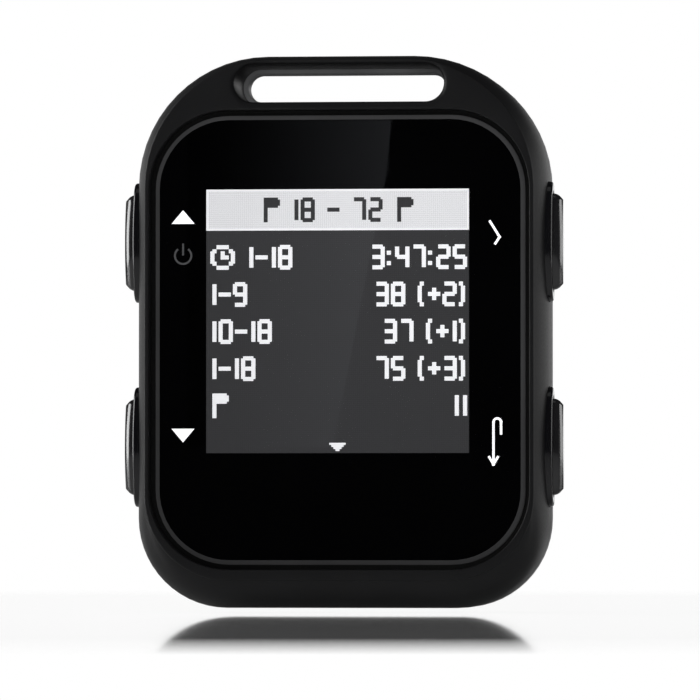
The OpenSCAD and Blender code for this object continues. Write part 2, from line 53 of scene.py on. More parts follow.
def box_mm(node):
    """A node's lowest and highest corners in millimetres."""
    low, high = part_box(node)
    return [v / MM for v in low], [v / MM for v in high]


# ---------------------------------------------------------------- places from the frame
CASE_LOW, CASE_HIGH = box_mm("front_case")
LENS_LOW, LENS_HIGH = box_mm("lens")
GLASS_LOW, GLASS_HIGH = box_mm("display_glass")
CLIP_LOW, CLIP_HIGH = box_mm("clip")
PIN_LOW, PIN_HIGH = box_mm("clip_pin")

FRONT = CASE_LOW[1]                      # Y of the front lip
HALF = CASE_HIGH[0]                      # half width of the case
HEIGHT = CASE_HIGH[2]
SPLIT = CASE_HIGH[1] - FRONT             # depth where the shells meet
LENS_HALF = LENS_HIGH[0]
LENS_D = LENS_LOW[1] - FRONT
LENS_BACK = LENS_HIGH[1] - FRONT
PIN_D = (PIN_LOW[1] + PIN_HIGH[1]) / 2 - FRONT
PIN_Z = (PIN_LOW[2] + PIN_HIGH[2]) / 2
PIN_R = (PIN_HIGH[2] - PIN_LOW[2]) / 2
CLIP_BACK = CLIP_HIGH[1] - FRONT
CLIP_HALF = CLIP_HIGH[0]

# ---------------------------------------------------------------- sizes, in millimetres
LOW_R, TOP_R = 7.6, 11.1                 # corner radii of the case
SIDE_LEAN, CHIN_LEAN, TOP_LEAN = 1.05, 3.0, 0.45
SIDE_REACH, CHIN_REACH, TOP_REACH = 5.3, 3.4, 3.2
LIP_LOW_R, LIP_TOP_R = 7.05, 10.75       # corner radii of the front lip
BODY_D = 10.4                            # depth of the back of the case
REAR_R = 1.2
LENS_R, LENS_GAP, LENS_BEVEL = 6.3, 0.42, 0.38
LEDGE_W, LEDGE_D, CAVITY_D = 1.2, 2.9, 3.6
WALL, CAVITY_TOP, CAVITY_TOP_R = 1.6, 40.6, 7.0
FLOOR_D = 9.2
SLOT_HALF, SLOT_H, SLOT_BAR, SLOT_STEP = 8.9, 3.2, 0.8, 0.42
BUTTON_D = 5.05
BEZEL_L, BEZEL_T, BEZEL_OUT = 10.2, 4.8, 0.35
OVAL_IN = 0.7                            # how much tighter a button oval's ends are
SLEEVE_L, SLEEVE_T = 9.4, 4.0
WINDOW_L, WINDOW_T = 8.4, 3.0
RECESS_X, POCKET_X, BOSS_X = 17.0, 16.1, 15.0  # bezel's seat, sleeve's end and pocket's floor
SLEEVE_WALL, RUN = 0.25, 0.1             # and a cap's play all round
BOSS_R, INSERT_R, INSERT_L = 1.9, 1.2, 2.6  # screw bosses and the inserts' holes
HEAD_R, SHANK_R, HEAD_D = 1.4, 0.9, 1.15  # screw-head recesses and shank holes
CLIP_T, KNUCKLE_R, KNUCKLE_IN = 1.3, 1.3, 5.2
CLIP_WINDOW, CLIP_REACH = 4.9, 1.6
SCREWS = [(-13.2, 4.6), (13.2, 4.6), (-12.3, 38.8), (12.3, 38.8)]
CONTACTS = [-3.75, -1.25, 1.25, 3.75]
CONTACT_Z, CONTACT_R = 4.2, 0.8
VIEW_W = 59.5238                         # width of the view at the aim
GLARE_Y = -0.72                          # where the glare card stands, in metres
# The patch of the lens that mirrors the card, as (x, z)
GLARE = [(-13, 13.6), (-0.6, 13.6), (4.0, 37), (4.4, 42), (-13, 42)]
FLOOR_Z = -0.42 * MM                     # the floor's gloss lies under a clear layer, in metres
ARC = 14                                 # steps round each corner of an outline
EDGE = 14                                # steps along each straight of an outline


# ---------------------------------------------------------------- mesh helpers
def at(x, z, d):
    """A point in the frame from millimetres across, up and back from the front lip."""
    return Vector((x * MM, (FRONT + d) * MM, z * MM))


def roll(d, reach, lean):
    """How far an edge that rolls over `reach` of depth leans in at depth d."""
    radius = (reach * reach + lean * lean) / (2 * lean)
    return radius - math.sqrt(radius * radius - max(reach - d, 0) ** 2)


def outline(half, low, top, r_low, r_top):
    """Points round a rectangle on the centre line with its own lower and upper radii."""
    corners = [
        (half - r_low, low + r_low, r_low, -90), (half - r_top, top - r_top, r_top, 0),
        (r_top - half, top - r_top, r_top, 90), (r_low - half, low + r_low, r_low, 180)]
    points = []
    for i, (cx, cz, r, start) in enumerate(corners):
        for k in range(ARC + 1):
            a = math.radians(start + 90 * k / ARC)
            points.append((cx + r * math.cos(a), cz + r * math.sin(a)))
        nx, nz, nr, nstart = corners[(i + 1) % 4]
        a = math.radians(nstart)
        end = (nx + nr * math.cos(a), nz + nr * math.sin(a))
        x, z = points[-1]
        for k in range(1, EDGE):
            points.append((x + (end[0] - x) * k / EDGE, z + (end[1] - z) * k / EDGE))
    return points


def finish_mesh(bm, name, material, angle=32):
    """Cleans a mesh, makes it smooth with sharp edges past `angle`, and links it."""
    bmesh.ops.remove_doubles(bm, verts=bm.verts, dist=0.002 * MM)
    bmesh.ops.dissolve_degenerate(bm, edges=bm.edges, dist=0.001 * MM)
    bmesh.ops.recalc_face_normals(bm, faces=bm.faces)
    mesh = bpy.data.meshes.new(name)
    bm.to_mesh(mesh)
    bm.free()
    if material is not None:
        mesh.materials.append(material)
    mesh.shade_smooth()
    mesh.set_sharp_from_angle(angle=math.radians(angle))
    obj = bpy.data.objects.new(name, mesh)
    bpy.context.scene.collection.objects.link(obj)
    return obj


def loft(rings, place=at, closed=False):
    """A mesh through rings of (u, v) points at each depth: [(points, depth), ...]."""
    bm = bmesh.new()
    rows = [[bm.verts.new(place(u, v, d)) for u, v in points] for points, d in rings]
    pairs = list(zip(rows, rows[1:]))
    if closed:
        pairs.append((rows[-1], rows[0]))
    for a, b in pairs:
        n = len(a)
        for i in range(n):
            j = (i + 1) % n
            bm.faces.new((a[i], a[j], b[j], b[i]))
    if not closed:
        bm.faces.new(rows[0])
        bm.faces.new(list(reversed(rows[-1])))
    return bm


def grown(shape, grow):
    """An outline's numbers, made larger all round by `grow`."""
    half, low, top, r_low, r_top = shape
    return (half + grow, low - grow, top + grow, max(r_low + grow, 0.01), max(r_top + grow, 0.01))


def solid_outline(shape, section, place=at):
    """A closed solid whose outline follows (grow, depth) pairs from one face to the other."""
    return loft([(outline(*grown(shape, g)), d) for g, d in section], place)


def cut(obj, cutters, operation="DIFFERENCE"):
    """Cuts or joins meshes with exact booleans, and removes the tools."""
    for tool in cutters:
        mod = obj.modifiers.new("cut", "BOOLEAN")
        mod.operation = operation
        mod.solver = "EXACT"
        mod.object = tool
        bpy.context.view_layer.update()
        graph = bpy.context.evaluated_depsgraph_get()
        mesh = bpy.data.meshes.new_from_object(obj.evaluated_get(graph))
        obj.modifiers.remove(mod)
        old = obj.data
        obj.data = mesh
        bpy.data.meshes.remove(old)
        bpy.data.objects.remove(tool)
    return obj


def tidy_shading(obj, name, angle=30):
    """Merges what the cuts left double and sets the sharp edges again."""
    bm = bmesh.new()
    bm.from_mesh(obj.data)
    bmesh.ops.remove_doubles(bm, verts=bm.verts, dist=0.003 * MM)
    bmesh.ops.dissolve_degenerate(bm, edges=bm.edges, dist=0.002 * MM)
    bm.to_mesh(obj.data)
    bm.free()
    obj.data.name = name
    obj.data.shade_smooth()
    obj.data.set_sharp_from_angle(angle=math.radians(angle))
    return obj


def tool(bm):
    """A mesh used only to cut or join another."""
    return finish_mesh(bm, "tool", None)


def piece(obj, body, slot, *nodes):
    """Names what a finished piece rides on and hides the nodes it stands for. The slot argument is not
    used.
    """
    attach(obj, body)
    if nodes:
        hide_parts(*nodes)
    return obj


# ---------------------------------------------------------------- materials
def shader(name, color, rough, **sockets):
    """A Principled material, its node tree and its shader node."""
    mat = bpy.data.materials.new(name)
    mat.use_nodes = True
    tree = mat.node_tree
    bsdf = tree.nodes["Principled BSDF"]
    bsdf.inputs["Base Color"].default_value = (*color, 1)
    bsdf.inputs["Roughness"].default_value = rough
    for key, value in sockets.items():
        bsdf.inputs[key.replace("_", " ")].default_value = value
    return mat, tree, bsdf


def noise(tree, size, detail=3.0, stretch=(1, 1, 1)):
    """A noise pattern with features of about `size` millimetres, stretched by axis."""
    coord = tree.nodes.new("ShaderNodeTexCoord")
    mapping = tree.nodes.new("ShaderNodeMapping")
    mapping.inputs["Scale"].default_value = stretch
    texture = tree.nodes.new("ShaderNodeTexNoise")
    texture.inputs["Scale"].default_value = 1 / (size * MM)
    texture.inputs["Detail"].default_value = detail
    tree.links.new(coord.outputs["Object"], mapping.inputs["Vector"])
    tree.links.new(mapping.outputs["Vector"], texture.inputs["Vector"])
    return texture.outputs["Fac"]


def ranged(tree, source, low, high, start=0.3, end=0.7):
    """A pattern mapped from its usual spread to low..high."""
    node = tree.nodes.new("ShaderNodeMapRange")
    node.inputs["From Min"].default_value = start
    node.inputs["From Max"].default_value = end
    node.inputs["To Min"].default_value = low
    node.inputs["To Max"].default_value = high
    tree.links.new(source, node.inputs["Value"])
    return node.outputs["Result"]


def mixed(tree, factor, a, b):
    """A colour between a and b by a pattern."""
    node = tree.nodes.new("ShaderNodeMix")
    node.data_type = "RGBA"
    node.inputs["A"].default_value = (*a, 1)
    node.inputs["B"].default_value = (*b, 1)
    tree.links.new(factor, node.inputs["Factor"])
    return node.outputs["Result"]


def bumped(tree, bsdf, height, strength, distance):
    """Small relief of `distance` millimetres from a pattern."""
    node = tree.nodes.new("ShaderNodeBump")
    node.inputs["Strength"].default_value = strength
    node.inputs["Distance"].default_value = distance * MM
    tree.links.new(height, node.inputs["Height"])
    tree.links.new(node.outputs["Normal"], bsdf.inputs["Normal"])


def scaled(color, k):
    return tuple(min(c * k, 1) for c in color)


def textured(name, color, rough, grain, relief, spread=0.06, vary=0.12, stretch=(1, 1, 1), **sockets):
    """A moulded, rolled or printed surface: its grain bumps it and shifts its gloss a little,
    and a broad pattern shifts its colour."""
    mat, tree, bsdf = shader(name, color, rough, **sockets)
    fine = noise(tree, grain, 3.0, stretch)
    broad = noise(tree, 6.0, 2.0)
    tree.links.new(ranged(tree, fine, rough - spread, rough + spread), bsdf.inputs["Roughness"])
    tree.links.new(mixed(tree, ranged(tree, broad, 0, 1), scaled(color, 1 - vary),
                         scaled(color, 1 + vary)), bsdf.inputs["Base Color"])
    bumped(tree, bsdf, fine, 0.5, relief)
    return mat


def grid_lines(tree, pitch, width):
    """1 on the thin gaps between square cells of `pitch` millimetres, 0 elsewhere."""
    coord = tree.nodes.new("ShaderNodeTexCoord")
    split = tree.nodes.new("ShaderNodeSeparateXYZ")
    tree.links.new(coord.outputs["Object"], split.inputs["Vector"])
    gaps = []
    for axis in ("X", "Z"):
        wrap = tree.nodes.new("ShaderNodeMath")
        wrap.operation = "WRAP"
        wrap.inputs[1].default_value = pitch * MM
        wrap.inputs[2].default_value = 0
        tree.links.new(split.outputs[axis], wrap.inputs[0])
        less = tree.nodes.new("ShaderNodeMath")
        less.operation = "LESS_THAN"
        less.inputs[1].default_value = width * MM
        tree.links.new(wrap.outputs[0], less.inputs[0])
        gaps.append(less.outputs[0])
    both = tree.nodes.new("ShaderNodeMath")
    both.operation = "MAXIMUM"
    tree.links.new(gaps[0], both.inputs[0])
    tree.links.new(gaps[1], both.inputs[1])
    return both.outputs[0]


DISPLAY_X = (GLASS_LOW[0] + GLASS_HIGH[0]) / 2
DISPLAY_Z = 24.28
DISPLAY_S = 22.35
PIXEL = DISPLAY_S / 128                  # pitch of the display's dots


def lcd(name, color, glow):
    """A lit area of the display: cells with slightly darker gaps, and a soft glow."""
    mat, tree, bsdf = shader(name, color, 0.5, Specular_IOR_Level=0.0)
    cells = mixed(tree, grid_lines(tree, PIXEL, PIXEL * 0.14), color, scaled(color, 0.8))
    tree.links.new(cells, bsdf.inputs["Base Color"])
    tree.links.new(cells, bsdf.inputs["Emission Color"])
    bsdf.inputs["Emission Strength"].default_value = glow
    cloud = noise(tree, 1.5, 2.0)
    tree.links.new(ranged(tree, cloud, 0.4, 0.6), bsdf.inputs["Roughness"])
    return mat


def clear_lens():
    """Hard-coated clear plastic with faint wipe marks in its gloss."""
    mat, tree, bsdf = shader("lens_clear", (0.97, 0.975, 1.0), 0.01, IOR=1.49, Transmission_Weight=1.0)
    wipes = noise(tree, 3.0, 5.0, (1, 1, 0.35))
    tree.links.new(ranged(tree, wipes, 0.0, 0.03, 0.45, 0.75), bsdf.inputs["Roughness"])
    return mat


BLACK = (0.0095, 0.0095, 0.01)
M = {
    "case": textured("case_black", BLACK, 0.45, 0.16, 0.004, 0.04, Specular_IOR_Level=0.3),
    "rear": textured("rear_grey", (0.21, 0.212, 0.216), 0.48, 0.2, 0.008, 0.05),
    "clip": textured("clip_black", (0.016, 0.016, 0.017), 0.4, 0.2, 0.006, 0.05),
    "bezel": textured("bezel_gloss", (0.006, 0.006, 0.007), 0.14, 0.9, 0.0015, 0.03, 0.1,
                      Coat_Weight=0.4, Coat_Roughness=0.05),
    "cap": textured("cap_gloss", (0.014, 0.014, 0.015), 0.2, 0.7, 0.0015, 0.04, 0.1,
                    Coat_Weight=1.0, Coat_Roughness=0.08),
    "lens": clear_lens(),
    # The lens's bevel is painted grey: an opaque grey stands in for the reflection seen on the clear
    # chamfer
    "lens_edge_painted_reflection": textured("lens_bevel", (0.08, 0.08, 0.082), 0.42, 0.3, 0.001, 0.05, 0.08),
    "mask": textured("black_print", (0.0009, 0.0009, 0.001), 0.6, 0.4, 0.0005, 0.05, 0.2,
                     Specular_IOR_Level=0.0),
    "gasket": textured("gasket_rubber", (0.003, 0.003, 0.003), 0.6, 0.25, 0.004, 0.08, 0.2),
    "rubber": textured("soft_rubber", (0.02, 0.02, 0.021), 0.65, 0.22, 0.012, 0.08, 0.15),
    # White and grey print: the print is real, but its emission is a painted glow that makes the marks
    # brighter than the lamps light them
    "ink_painted_glow": textured("white_print_painted_glow", (0.9, 0.9, 0.9), 0.6, 0.3, 0.0005, 0.05, 0.03,
                    Emission_Color=(1, 1, 1, 1), Emission_Strength=0.75, Specular_IOR_Level=0.0),
    "dim_ink_painted_glow": textured("grey_print_painted_glow", (0.06, 0.06, 0.062), 0.6, 0.3, 0.0005, 0.05, 0.05,
                        Emission_Color=(1, 1, 1, 1), Emission_Strength=0.04,
                        Specular_IOR_Level=0.0),
    "lcd_dark": lcd("lcd_dark", (0.036, 0.036, 0.037), 0.6),
    "lcd_bar": lcd("lcd_bar", (0.6, 0.6, 0.6), 0.7),
    "lcd_light": lcd("lcd_light", (0.8, 0.8, 0.8), 0.65),
    "steel": textured("tinned_steel", (0.56, 0.57, 0.58), 0.32, 0.12, 0.003, 0.08, 0.06,
                      (1, 1, 0.05), Metallic=1.0),
    "fastener": textured("stainless", (0.46, 0.47, 0.48), 0.27, 0.1, 0.003, 0.07, 0.08,
                         (0.05, 1, 1), Metallic=1.0),
    "nylon": textured("grey_nylon", (0.22, 0.23, 0.24), 0.45, 0.25, 0.006),
    "board": textured("solder_mask", (0.008, 0.09, 0.045), 0.3, 0.5, 0.004, 0.06, 0.3),
    "chip": textured("chip_resin", (0.02, 0.02, 0.022), 0.55, 0.12, 0.004),
    "ivory": textured("ivory_plastic", (0.66, 0.62, 0.5), 0.42, 0.2, 0.004),
    "flex": textured("amber_film", (0.42, 0.18, 0.035), 0.25, 0.5, 0.003, 0.06, 0.2),
    "ceramic": textured("fired_ceramic", (0.58, 0.46, 0.32), 0.6, 0.08, 0.006),
    "silver": textured("silver_paste", (0.68, 0.68, 0.69), 0.35, 0.1, 0.004, Metallic=1.0),
    "cell": textured("foil_pouch", (0.6, 0.61, 0.63), 0.3, 1.2, 0.03, 0.08, 0.06, Metallic=0.9),
    "foam": textured("grey_foam", (0.035, 0.038, 0.042), 0.9, 0.1, 0.05),
    "wire": textured("red_wire", (0.4, 0.03, 0.02), 0.4, 0.3, 0.004),
    "gold": textured("gold_plate", (0.78, 0.55, 0.2), 0.22, 0.2, 0.002, 0.06, 0.06, Metallic=1.0),
    "brass": textured("brass_insert", (0.6, 0.42, 0.16), 0.32, 0.15, 0.006, Metallic=1.0),
    "light": textured("light_film", (0.8, 0.82, 0.84), 0.3, 0.4, 0.001, 0.05, 0.03),
}

BUTTONS = {"up": (-1, "up_cap"), "down": (-1, "down_cap"), "ok": (1, "ok_cap"), "back": (1, "back_cap")}
LOOKS = {
    "gasket": ["case_seal", "lens_gasket"],
    "rubber": ["screw_seals"] + [f"{b}_seal" for b in BUTTONS],
    "mask": ["lens_mask"],
    "lcd_dark": ["display_glass"],
    "steel": ["gps_shield", "power_shield"],
    "light": ["backlight", "reflector"],
    "flex": ["display_flex"],
    "ivory": ["display_frame", "display_connector", "battery_connector"] + [f"{b}_switch" for b in BUTTONS],
    "board": ["main_board"],
    "chip": ["board_chips", "contact_block"],
    "ceramic": ["gps_antenna"],
    "silver": ["antenna_electrode"],
    "cell": ["battery"],
    "foam": ["battery_pad"],
    "wire": ["battery_leads"],
    "gold": ["charge_contacts"],
    "fastener": ["case_screws", "clip_pin", "clip_spring"],
    "brass": ["screw_inserts"],
    "nylon": [f"{b}_plunger" for b in BUTTONS],
}
for look, nodes in LOOKS.items():
    for node in nodes:
        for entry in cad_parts[node].material_slots:
            entry.material = M[look]


# ---------------------------------------------------------------- outlines of the unit
def shell_shape(d):
    """The front shell's outer outline at depth d."""
    side = roll(d, SIDE_REACH, SIDE_LEAN)
    chin = roll(d, CHIN_REACH, CHIN_LEAN)
    top = roll(d, TOP_REACH, TOP_LEAN)
    share = chin / CHIN_LEAN
    r_low = LOW_R + (LIP_LOW_R - LOW_R) * share
    r_top = TOP_R + (LIP_TOP_R - TOP_R) * side / SIDE_LEAN
    return (HALF - side, chin, HEIGHT - top, r_low, r_top)


LENS_SHAPE = (LENS_HALF, LENS_LOW[2], LENS_HIGH[2], LENS_R, LENS_R)
CAVITY_SHAPE = (HALF - WALL, WALL, CAVITY_TOP, LOW_R - WALL, CAVITY_TOP_R)
SLOT_TOP = HEIGHT - SLOT_BAR
SLOT_SHAPE = (SLOT_HALF, SLOT_TOP - SLOT_H, SLOT_TOP, SLOT_H / 2, SLOT_H / 2)


def at_button(side, z0):
    """Places (along the button, across it, outwards) on one side of the case."""
    return lambda u, v, w: at(side * w, z0 + u, BUTTON_D + v)


def oval(length, thick, grow=0.0):
    """Points round a button's oval of four tangent arcs, its length across."""
    c, t = (length - thick) / 2 + OVAL_IN, thick / 2
    r = t - OVAL_IN
    big = (c * c + t * t - r * r) / (2 * OVAL_IN)
    turn = math.degrees(math.atan2(big - t, c))
    arcs = [(c, 0, r, -turn, turn), (0, t - big, big, turn, 180 - turn),
            (-c, 0, r, 180 - turn, 180 + turn), (0, big - t, big, 180 + turn, 360 - turn)]
    points = []
    for cx, cz, radius, start, end in arcs:
        for k in range(2 * ARC):
            a = math.radians(start + (end - start) * k / (2 * ARC))
            points.append((cx + (radius + grow) * math.cos(a), cz + (radius + grow) * math.sin(a)))
    return points


def round_bar(x0, x1, z, d, r, steps=48):
    """A plain round bar along x."""
    bm = bmesh.new()
    rows = [[bm.verts.new(at(x, z + r * math.cos(2 * math.pi * k / steps),
                             d + r * math.sin(2 * math.pi * k / steps)))
             for k in range(steps)] for x in (x0, x1)]
    for k in range(steps):
        j = (k + 1) % steps
        bm.faces.new((rows[0][k], rows[0][j], rows[1][j], rows[1][k]))
    bm.faces.new(rows[0])
    bm.faces.new(list(reversed(rows[1])))
    return bm


def disc(x, z, r, d0, d1):
    """A plain round plug through the thickness of the unit."""
    return solid_outline((r, z - r, z + r, r, r), [(0, d0), (0, d1)],
                         lambda u, v, d: at(x + u, v, d))


def button_heights():
    """Each button's side and the height of its centre, from its cap's box."""
    found = {}
    for name, (side, cap) in BUTTONS.items():
        low, high = box_mm(cap)
        found[name] = (side, (low[2] + high[2]) / 2)
    return found


HEIGHTS = button_heights()


# ---------------------------------------------------------------- front shell
def front_case():
    lip_r, hole_r = 0.16, 0.1
    outer = [SPLIT - 0.12] + [SPLIT - 0.6 * k for k in range(1, 3)]
    outer += [SIDE_REACH * (1 - k / 16) ** 1.5 for k in range(16)]
    outer = sorted({round(max(d, lip_r), 4) for d in outer}, reverse=True)
    lip = shell_shape(lip_r)
    hole = grown(LENS_SHAPE, LENS_GAP)
    cavity = CAVITY_SHAPE
    rings = [(outline(*grown(cavity, 0)), SPLIT), (outline(*grown(shell_shape(SPLIT), -0.12)), SPLIT)]
    rings += [(outline(*shell_shape(d)), d) for d in outer]
    for k in range(1, 5):
        a = math.radians(90 * k / 4)
        rings.append((outline(*grown(lip, -lip_r * (1 - math.cos(a)))), lip_r * (1 - math.sin(a))))
    for k in range(5):
        a = math.radians(90 * k / 4)
        rings.append((outline(*grown(hole, hole_r * (1 - math.sin(a)))), hole_r * (1 - math.cos(a))))
    rings += [
        (outline(*hole), LEDGE_D), (outline(*grown(LENS_SHAPE, -LEDGE_W)), LEDGE_D),
        (outline(*grown(LENS_SHAPE, -LEDGE_W)), CAVITY_D), (outline(*cavity), CAVITY_D)]
    shell = finish_mesh(loft(rings, closed=True), "front_shell", M["case"])
    flare = 0.5
    section = [(flare, -1.0), (flare, 0.0)]
    section += [(flare * (1 - math.sin(math.radians(a))), flare * (1 - math.cos(math.radians(a))))
                for a in (22.5, 45, 67.5, 90)]
    section += [(0, SPLIT + 1)]
    cutters = [tool(solid_outline(SLOT_SHAPE, section))]
    for side, z0 in HEIGHTS.values():
        place = at_button(side, z0)
        gap = 0.05
        inner, outer = oval(SLEEVE_L, SLEEVE_T, gap), oval(BEZEL_L, BEZEL_T, gap)
        cutters.append(tool(loft([
            (inner, BOSS_X), (inner, RECESS_X), (outer, RECESS_X), (outer, HALF + 1)], place)))
    cut(shell, cutters)
    posts = [tool(disc(x, z, BOSS_R, CAVITY_D - 0.3, SPLIT - 0.02)) for x, z in SCREWS]
    cut(shell, posts, "UNION")
    cut(shell, [tool(disc(x, z, INSERT_R, SPLIT - INSERT_L, SPLIT + 0.5)) for x, z in SCREWS])
    tidy_shading(shell, "front_shell")
    return piece(shell, "case", "case", "front_case")


# ---------------------------------------------------------------- rear shell
def rear_case():
    edge = [(-0.1, SPLIT), (0, SPLIT + 0.1), (0, SPLIT + 0.5)]
    edge += [(-REAR_R * (1 - math.cos(math.radians(a))),
              BODY_D - REAR_R * (1 - math.sin(math.radians(a)))) for a in range(0, 91, 9)]
    body = (HALF, 0, HEIGHT, LOW_R, TOP_R)
    shell = finish_mesh(solid_outline(body, edge), "rear_shell", M["rear"])
    cutters = [
        tool(solid_outline(CAVITY_SHAPE, [(0, SPLIT - 1), (0, FLOOR_D)])),
        tool(solid_outline(SLOT_SHAPE, slot_section()))]
    groove = loft([(outline(*grown(CAVITY_SHAPE, g)), d) for g, d in (
        (0.45, SPLIT - 0.5), (0.45, SPLIT + 0.6), (1.15, SPLIT + 0.6), (1.15, SPLIT - 0.5))],
        closed=True)
    cutters.append(tool(groove))
    cut(shell, cutters)
    cut(shell, [tool(disc(x, z, BOSS_R, SPLIT + 0.02, FLOOR_D + 0.4)) for x, z in SCREWS], "UNION")
    holes = []
    for x, z in SCREWS:
        holes.append(tool(disc(x, z, SHANK_R, SPLIT - 0.5, BODY_D)))
        head = solid_outline((HEAD_R, z - HEAD_R, z + HEAD_R, HEAD_R, HEAD_R), [
            (0, BODY_D - HEAD_D), (0, BODY_D - 0.15), (0.15, BODY_D), (0.15, BODY_D + 1)],
            lambda u, v, d, x=x: at(x + u, v, d))
        holes.append(tool(head))
    holes += [tool(disc(x, CONTACT_Z, CONTACT_R + 0.02, FLOOR_D - 0.5, BODY_D + 1)) for x in CONTACTS]
    cut(shell, holes)
    cut(shell, [tool(ear(side)) for side in (-1, 1)], "UNION")
    reach = PIN_HIGH[0] + 1
    cut(shell, [tool(round_bar(-reach, reach, PIN_Z, PIN_D, PIN_R + 0.005))])
    tidy_shading(shell, "rear_shell")
    return piece(shell, "case", "rear_shell", "rear_case")


def slot_section():
    """The rear shell's slot: a small round on its front step and a larger one at the back."""
    back = 0.45
    section = [(0.12 - SLOT_STEP, SPLIT - 1), (0.12 - SLOT_STEP, SPLIT), (-SLOT_STEP, SPLIT + 0.12)]
    section += [(-SLOT_STEP + back * (1 - math.cos(math.radians(a))),
                 BODY_D - back * (1 - math.sin(math.radians(a)))) for a in (0, 22.5, 45, 67.5, 90)]
    return section + [(-SLOT_STEP + back, BODY_D + 1)]


def ear(side):
    """A rounded ear that carries the clip's pin, with softened edges."""
    inner, outer, r, soft = CLIP_HALF + 0.1, PIN_HIGH[0], 1.35, 0.2
    bm = bmesh.new()
    rows = []
    for x, grow in ((inner, -soft), (inner + soft, 0), (outer - soft, 0), (outer, -soft)):
        size = r + grow
        ring = [(PIN_Z + size, BODY_D - 0.4), (PIN_Z + size, PIN_D)]
        ring += [(PIN_Z + size * math.cos(math.radians(a)), PIN_D + size * math.sin(math.radians(a)))
                 for a in range(15, 180, 15)]
        ring += [(PIN_Z - size, PIN_D), (PIN_Z - size, BODY_D - 0.4)]
        rows.append([bm.verts.new(at(side * x, z, d)) for z, d in ring])
    for a, b in zip(rows, rows[1:]):
        for i in range(len(a)):
            j = (i + 1) % len(a)
            bm.faces.new((a[i], a[j], b[j], b[i]))
    bm.faces.new(rows[0])
    bm.faces.new(list(reversed(rows[-1])))
    return bm


# ---------------------------------------------------------------- lens and what is under it
def lens():
    gap = 0.02
    rings = [(-LENS_BEVEL, LENS_D), (0, LENS_D + LENS_BEVEL), (0, LENS_BACK - gap)]
    obj = finish_mesh(solid_outline(LENS_SHAPE, rings), "cover_lens", M["lens"], 20)
    # The bevel faces get the painted-reflection grey instead of clear plastic
    obj.data.materials.append(M["lens_edge_painted_reflection"])
    for face in obj.data.polygons:
        if abs(face.normal.y) < 0.95:
            face.material_index = 1
    obj.visible_shadow = False
    return piece(obj, "case", "lens", "lens")


def print_solid(name, loops, material):
    """Thin print on the back of the lens, from outlines [(x, z), ...] in millimetres."""
    bm = bmesh.new()
    front, back = LENS_BACK - 0.014, LENS_BACK - 0.002
    for points in loops:
        top = [bm.verts.new(at(x, z, front)) for x, z in points]
        low = [bm.verts.new(at(x, z, back)) for x, z in points]
        n = len(points)
        for i in range(n):
            j = (i + 1) % n
            bm.faces.new((top[i], top[j], low[j], low[i]))
        bm.faces.new(top)
        bm.faces.new(list(reversed(low)))
    obj = finish_mesh(bm, name, material)
    return piece(obj, "case", "mask")


def band(points, width):
    """Quads of a line of `width` along points, for strokes of print."""
    loops = []
    for (x0, z0), (x1, z1) in zip(points, points[1:]):
        length = math.hypot(x1 - x0, z1 - z0)
        nx, nz = (z0 - z1) / length * width / 2, (x1 - x0) / length * width / 2
        ex, ez = (x1 - x0) / length * width / 2, (z1 - z0) / length * width / 2
        x0, z0, x1, z1 = x0 - ex, z0 - ez, x1 + ex, z1 + ez
        loops.append([(x0 + nx, z0 + nz), (x0 - nx, z0 - nz), (x1 - nx, z1 - nz), (x1 + nx, z1 + nz)])
    return loops


def arc_band(cx, cz, r, width, start, end, steps=28):
    """One closed outline of a ring segment."""
    loop = []
    for k in range(steps + 1):
        a = math.radians(start + (end - start) * k / steps)
        loop.append((cx + (r + width / 2) * math.cos(a), cz + (r + width / 2) * math.sin(a)))
    for k in range(steps, -1, -1):
        a = math.radians(start + (end - start) * k / steps)
        loop.append((cx + (r - width / 2) * math.cos(a), cz + (r - width / 2) * math.sin(a)))
    return [loop]


def key_marks():
    """Generic symbols beside the buttons: up, power, down, a tick and a return arrow."""
    left, right = -13.42, 13.08
    up_z, down_z, power_z = 33.13, 14.6, 29.95
    half, rise = 0.98, 0.58
    print_solid("mark_up", [[(left - half, up_z - rise), (left + half, up_z - rise),
                             (left, up_z + rise)]], M["ink_painted_glow"])
    print_solid("mark_down", [[(left - half, down_z + rise), (left, down_z - rise),
                               (left + half, down_z + rise)]], M["ink_painted_glow"])
    ring = arc_band(left, power_z - 0.1, 0.7, 0.16, 128, 412)
    print_solid("mark_power", ring + band([(left, power_z), (left, power_z + 0.85)], 0.16), M["dim_ink_painted_glow"])
    z = HEIGHTS["ok"][1] + 0.7
    tick = [(right + 0.05, z - 0.95), (right + 0.4, z - 0.4), (right - 0.4, z + 0.9)]
    print_solid("mark_tick", band(tick, 0.2), M["ink_painted_glow"])
    z = HEIGHTS["back"][1] + 0.4
    shaft, turn = right - 0.12, 0.32
    loops = band([(shaft, z - 1.9), (shaft, z + 1.55)], 0.2)
    loops += arc_band(shaft + turn, z + 1.65, turn, 0.2, 0, 180)
    loops += band([(shaft + 2 * turn, z + 1.65), (shaft + 2 * turn, z + 0.7)], 0.2)
    loops += band([(shaft - 0.36, z - 1.3), (shaft, z - 1.9), (shaft + 0.36, z - 1.3)], 0.2)
    print_solid("mark_return", loops, M["ink_painted_glow"])


